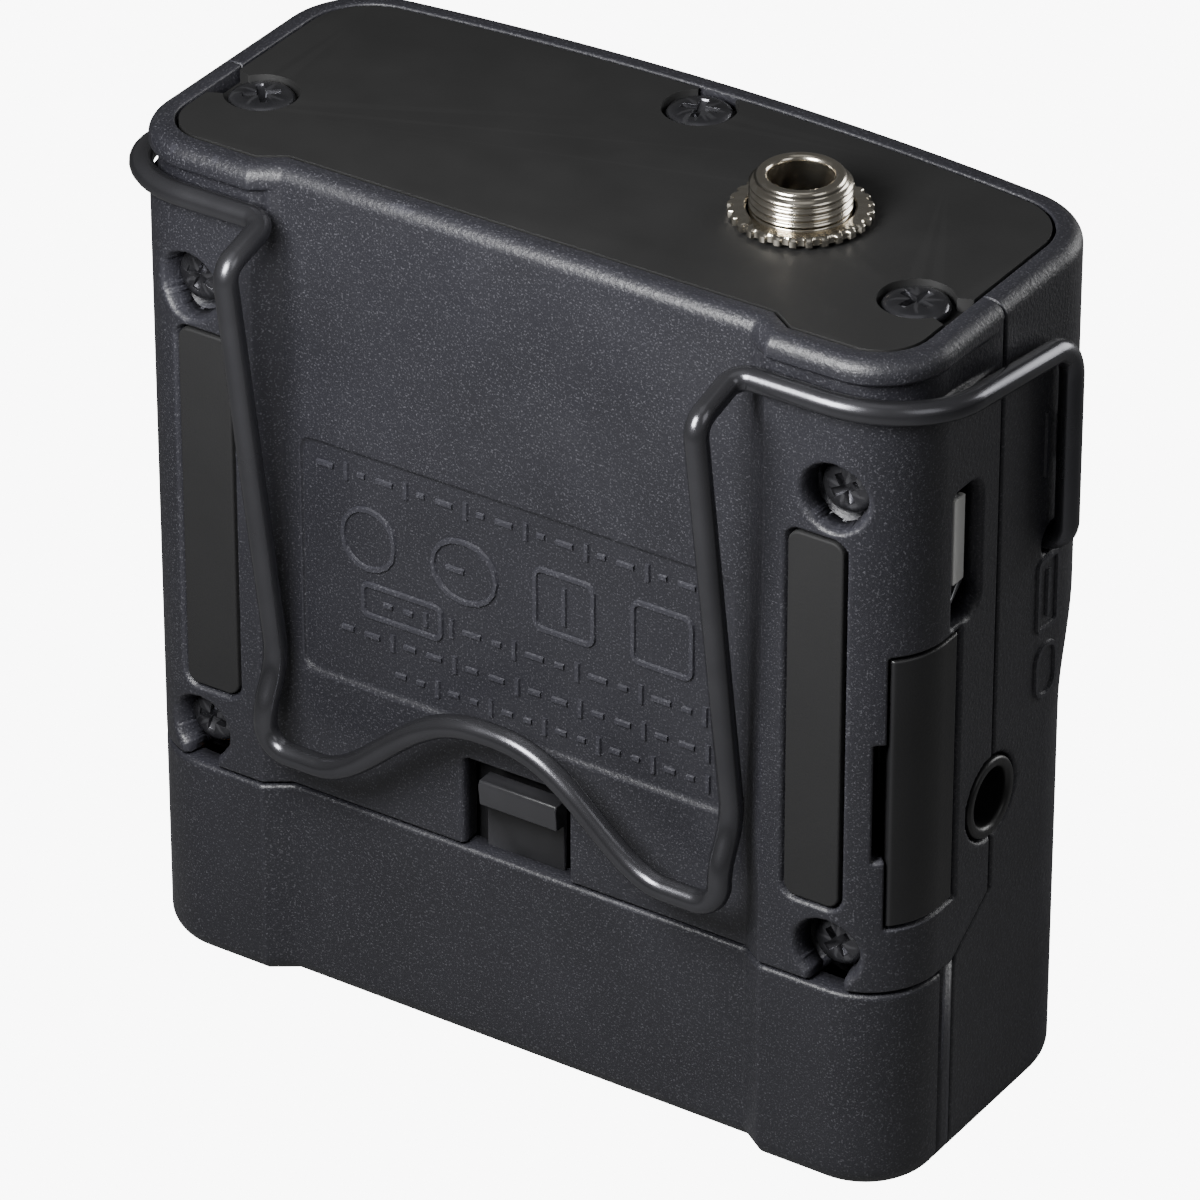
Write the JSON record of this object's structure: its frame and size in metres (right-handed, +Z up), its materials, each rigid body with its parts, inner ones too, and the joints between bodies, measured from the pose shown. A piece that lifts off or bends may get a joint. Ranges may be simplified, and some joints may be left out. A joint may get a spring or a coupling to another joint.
{
  "type": "pocket audio bodypack",
  "caption": "Pocket audio pack in grained black plastic with a sprung wire belt clip, battery door, card cover and a locking jack socket on top",
  "frame": {"origin": "middle of the bottom face of the casing", "axes": "+Z up towards the jack socket, +Y out of the back where the belt clip is, display face towards -Y"},
  "size_m": [0.0542, 0.0282, 0.0556],
  "materials": {
    "grained_casing": "satin, fine moulded grain",
    "smooth_black": "satin, smooth",
    "matt_plate": "matte, flat",
    "rubber": "matte",
    "black_screw": "gloss",
    "steel": "satin",
    "black_wire": "satin",
    "nickel": "gloss",
    "clear_plastic": "gloss",
    "display": "gloss",
    "circuit_board": "satin",
    "chip": "matte",
    "cell_wrapper": "gloss"
  },
  "bodies": {
    "body": {"front_cover": "grained_casing", "rear_cover": "grained_casing", "top_plate": "matt_plate", "top_screw_1": "black_screw", "top_screw_2": "black_screw", "top_screw_3": "black_screw", "rear_screw_1": "black_screw", "rear_screw_2": "black_screw", "rear_screw_3": "black_screw", "rear_screw_4": "black_screw", "rubber_pad_left": "rubber", "rubber_pad_right": "rubber", "door_hinge_pin": "steel", "battery_cell": "cell_wrapper", "battery_tray": "smooth_black", "battery_contact_plus": "nickel", "battery_spring": "nickel", "card_socket": "nickel", "memory_card": "smooth_black", "usb_socket": "nickel", "usb_tongue": "smooth_black", "headphone_jack": "smooth_black", "mic_jack_barrel": "nickel", "mic_jack_nut": "nickel", "mic_jack_body": "smooth_black", "clip_anchor_left": "black_wire", "clip_anchor_right": "black_wire", "display_window": "clear_plastic", "display_module": "display", "tact_switch_1": "nickel", "tact_switch_2": "nickel", "tact_switch_3": "nickel", "tact_switch_4": "nickel", "light_pipe": "clear_plastic", "main_board": "circuit_board", "front_board": "circuit_board", "processor_chip": "chip", "memory_chip": "chip", "converter_chip": "chip", "board_connector": "chip"},
    "clip_tongue_part": {"clip_tongue": "black_wire"},
    "battery_door_part": {"battery_door": "grained_casing"},
    "door_latch_part": {"door_latch": "smooth_black"},
    "card_cover_part": {"card_cover": "smooth_black"},
    "menu_key_part": {"menu_key": "smooth_black"},
    "down_key_part": {"down_key": "smooth_black"},
    "up_key_part": {"up_key": "smooth_black"},
    "enter_key_part": {"enter_key": "smooth_black"},
    "record_switch_part": {"record_switch": "smooth_black"},
    "power_switch_part": {"power_switch": "smooth_black"}
  },
  "joints": [
    {"name": "clip_flex", "type": "hinge", "parent": "body", "child": "clip_tongue_part", "pos_m": [0, 0.012, 0.0503], "axis": [1, 0, 0], "range_deg": [0, 20], "stiffness_Nm_per_rad": 0.05},
    {"name": "door_hinge", "type": "hinge", "parent": "body", "child": "battery_door_part", "pos_m": [0, 0.007, 0.001], "axis": [-1, 0, 0], "range_deg": [0, 95]},
    {"name": "latch_slide", "type": "slide", "parent": "battery_door_part", "child": "door_latch_part", "axis": [0, 0, -1], "range_m": [0, 0.001], "stiffness_N_per_m": 100},
    {"name": "card_cover_hinge", "type": "hinge", "parent": "body", "child": "card_cover_part", "pos_m": [-0.0251, 0.006, 0.0261], "axis": [0, 0, 1], "range_deg": [0, 100]},
    {"name": "menu_key_press", "type": "slide", "parent": "body", "child": "menu_key_part", "axis": [0, 1, 0], "range_m": [0, 0.0003], "stiffness_N_per_m": 200},
    {"name": "down_key_press", "type": "slide", "parent": "body", "child": "down_key_part", "axis": [0, 1, 0], "range_m": [0, 0.0003], "stiffness_N_per_m": 200},
    {"name": "up_key_press", "type": "slide", "parent": "body", "child": "up_key_part", "axis": [0, 1, 0], "range_m": [0, 0.0003], "stiffness_N_per_m": 200},
    {"name": "enter_key_press", "type": "slide", "parent": "body", "child": "enter_key_part", "axis": [0, 1, 0], "range_m": [0, 0.0003], "stiffness_N_per_m": 200},
    {"name": "record_slide", "type": "slide", "parent": "body", "child": "record_switch_part", "axis": [1, 0, 0], "range_m": [0, 0.003]},
    {"name": "power_slide", "type": "slide", "parent": "body", "child": "power_switch_part", "axis": [1, 0, 0], "range_m": [0, 0.0025]}
  ]
}
